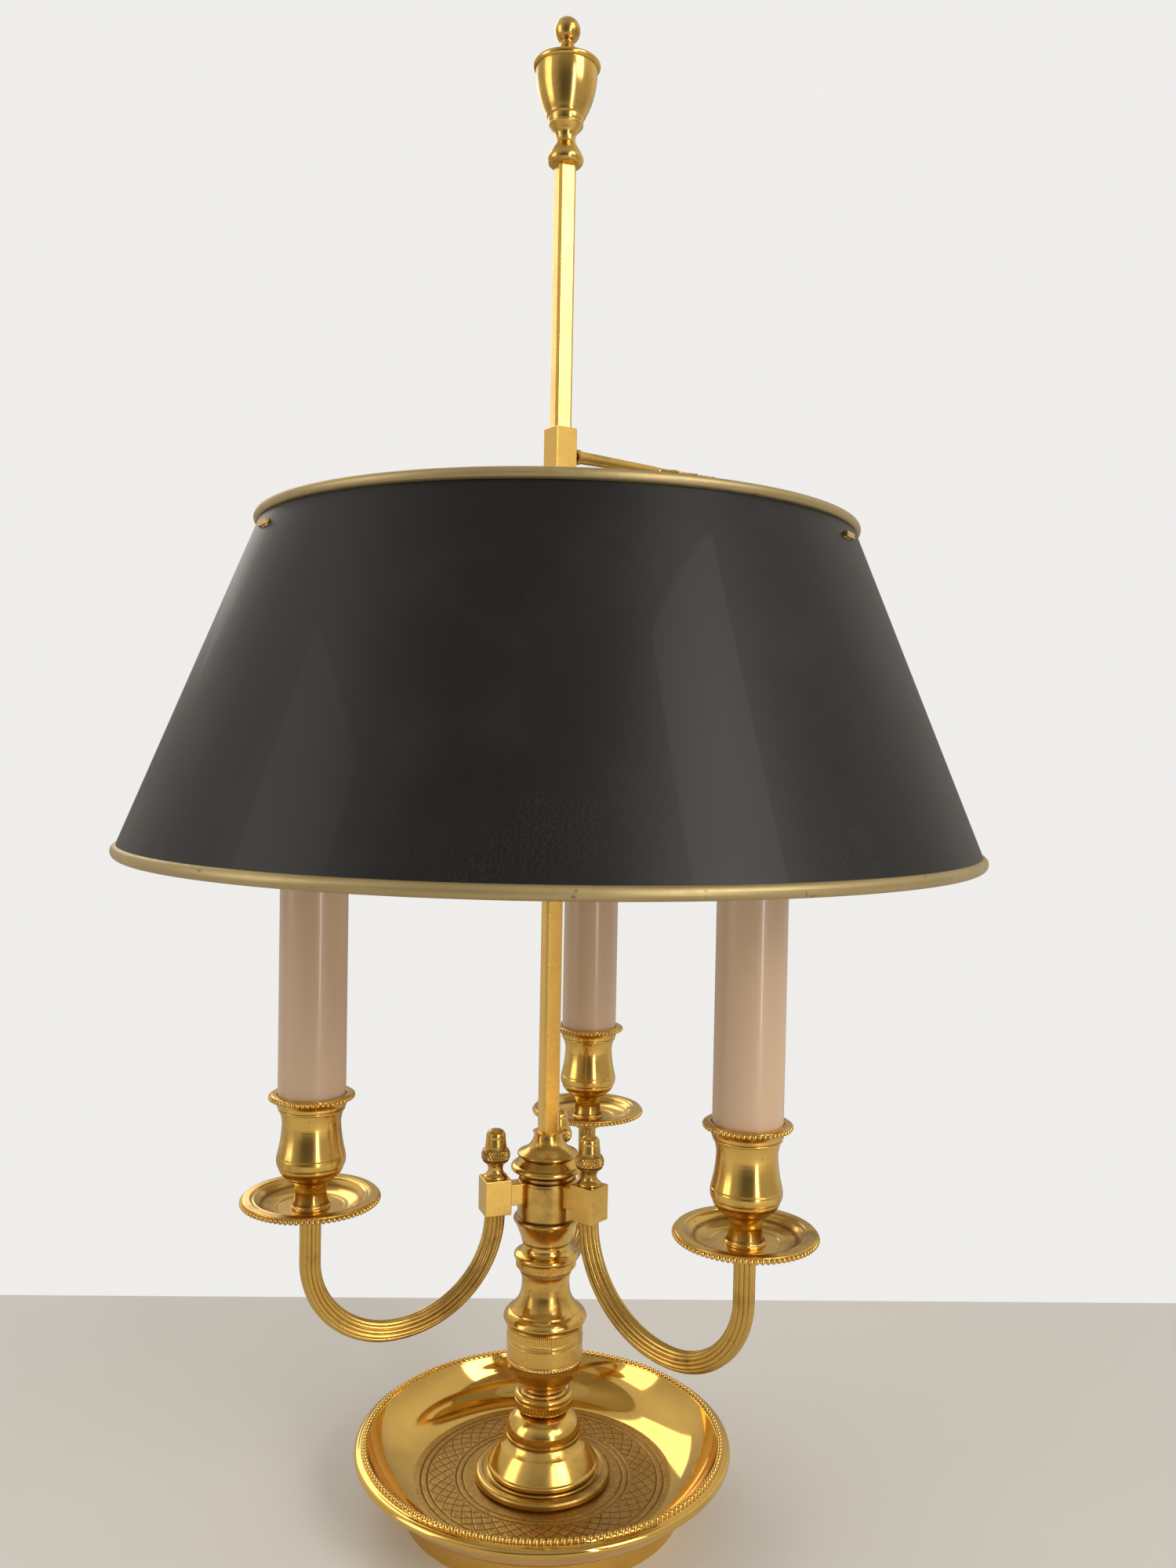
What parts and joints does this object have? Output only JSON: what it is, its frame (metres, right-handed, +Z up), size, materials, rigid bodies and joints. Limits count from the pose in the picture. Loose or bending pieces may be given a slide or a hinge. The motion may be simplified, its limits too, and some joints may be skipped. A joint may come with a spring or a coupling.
{
  "type": "bouillotte lamp",
  "caption": "Table lamp with three candle arms on a turned dish base and a conical metal shade that slides on a square shaft.",
  "frame": {"origin": "centre of the base's foot on the table", "axes": "+Z up along the column, -Y towards the viewer of the picture, +X to the viewer's right"},
  "size_m": [0.357, 0.357, 0.6335],
  "materials": {
    "dish_brass": "polished",
    "aged_brass": "aged satin",
    "column_brass": "polished",
    "shaft_brass": "satin",
    "black_paint": "satin",
    "gold_paint": "satin",
    "sleeve_plastic": "gloss",
    "holder_plastic": "matte",
    "bulb_glass": "clear",
    "cap_metal": "satin",
    "steel": "zinc plated",
    "cast_weight": "rough",
    "baize": "felt"
  },
  "bodies": {
    "stand": {"base_cover": "baize", "base_weight": "cast_weight", "base_dish": "dish_brass", "base_bead_ring": "dish_brass", "cord_bushing": "column_brass", "tie_nut": "steel", "tie_washer": "steel", "tie_tube": "steel", "foot_ring": "aged_brass", "bell_foot": "column_brass", "foot_dome": "column_brass", "knurled_knop": "column_brass", "vase_bowl": "column_brass", "knurled_band": "column_brass", "vase_neck": "column_brass", "neck_ring": "column_brass", "arm_hub": "column_brass", "hub_collar": "column_brass", "shaft_socket": "column_brass", "shaft": "shaft_brass"},
    "finial": {"finial": "column_brass"},
    "slider": {"slider_block": "shaft_brass", "spider_nut": "column_brass"},
    "key": {"arrow_key": "column_brass", "key_screw": "steel"},
    "shade": {"spider": "column_brass", "shade_shell": "black_paint", "shade_top_rim": "gold_paint", "shade_bottom_rim": "gold_paint"},
    "arm_1": {"arm_tube_1": "column_brass", "drip_pan_1": "column_brass", "candle_cup_1": "column_brass", "candle_sleeve_1": "sleeve_plastic", "holder_tube_1": "steel", "lampholder_1": "holder_plastic"},
    "nut_1": {"acorn_nut_1": "column_brass"},
    "bulb_1": {"bulb_cap_1": "cap_metal", "bulb_glass_1": "bulb_glass"},
    "arm_2": {"arm_tube_2": "column_brass", "drip_pan_2": "column_brass", "candle_cup_2": "column_brass", "candle_sleeve_2": "sleeve_plastic", "holder_tube_2": "steel", "lampholder_2": "holder_plastic"},
    "nut_2": {"acorn_nut_2": "column_brass"},
    "bulb_2": {"bulb_cap_2": "cap_metal", "bulb_glass_2": "bulb_glass"},
    "arm_3": {"arm_tube_3": "column_brass", "drip_pan_3": "column_brass", "candle_cup_3": "column_brass", "candle_sleeve_3": "sleeve_plastic", "holder_tube_3": "steel", "lampholder_3": "holder_plastic"},
    "nut_3": {"acorn_nut_3": "column_brass"},
    "bulb_3": {"bulb_cap_3": "cap_metal", "bulb_glass_3": "bulb_glass"}
  },
  "joints": [
    {"name": "shade_slide", "type": "slide", "parent": "stand", "child": "slider", "axis": [0, 0, 1], "range_m": [-0.034, 0.1]},
    {"name": "shade_turn", "type": "hinge", "parent": "slider", "child": "shade", "pos_m": [0, 0, 0.4084], "axis": [0, 0, 1], "continuous": true},
    {"name": "key_turn", "type": "hinge", "parent": "slider", "child": "key", "pos_m": [0.00497, 0.00335, 0.4508], "axis": [0.829, 0.5592, 0], "range_deg": [0, 720]},
    {"name": "finial_turn", "type": "hinge", "parent": "stand", "child": "finial", "pos_m": [0, 0, 0.5715], "axis": [0, 0, 1], "range_deg": [0, 720]},
    {"name": "arm_swing_1", "type": "hinge", "parent": "stand", "child": "arm_1", "pos_m": [0.00458, 0.02295, 0.135], "axis": [0, 0, 1], "range_deg": [-30, 30]},
    {"name": "nut_turn_1", "type": "hinge", "parent": "arm_1", "child": "nut_1", "pos_m": [0.00458, 0.02295, 0.15], "axis": [0, 0, 1], "range_deg": [0, 720]},
    {"name": "bulb_turn_1", "type": "hinge", "parent": "arm_1", "child": "bulb_1", "pos_m": [0.01979, 0.09904, 0.28], "axis": [0, 0, 1], "range_deg": [0, 720]},
    {"name": "arm_swing_2", "type": "hinge", "parent": "stand", "child": "arm_2", "pos_m": [-0.02217, -0.0075, 0.135], "axis": [0, 0, 1], "range_deg": [-30, 30]},
    {"name": "nut_turn_2", "type": "hinge", "parent": "arm_2", "child": "nut_2", "pos_m": [-0.02217, -0.0075, 0.15], "axis": [0, 0, 1], "range_deg": [0, 720]},
    {"name": "bulb_turn_2", "type": "hinge", "parent": "arm_2", "child": "bulb_2", "pos_m": [-0.09567, -0.03238, 0.28], "axis": [0, 0, 1], "range_deg": [0, 720]},
    {"name": "arm_swing_3", "type": "hinge", "parent": "stand", "child": "arm_3", "pos_m": [0.01758, -0.01544, 0.135], "axis": [0, 0, 1], "range_deg": [-30, 30]},
    {"name": "nut_turn_3", "type": "hinge", "parent": "arm_3", "child": "nut_3", "pos_m": [0.01758, -0.01544, 0.15], "axis": [0, 0, 1], "range_deg": [0, 720]},
    {"name": "bulb_turn_3", "type": "hinge", "parent": "arm_3", "child": "bulb_3", "pos_m": [0.07588, -0.06666, 0.28], "axis": [0, 0, 1], "range_deg": [0, 720]}
  ]
}
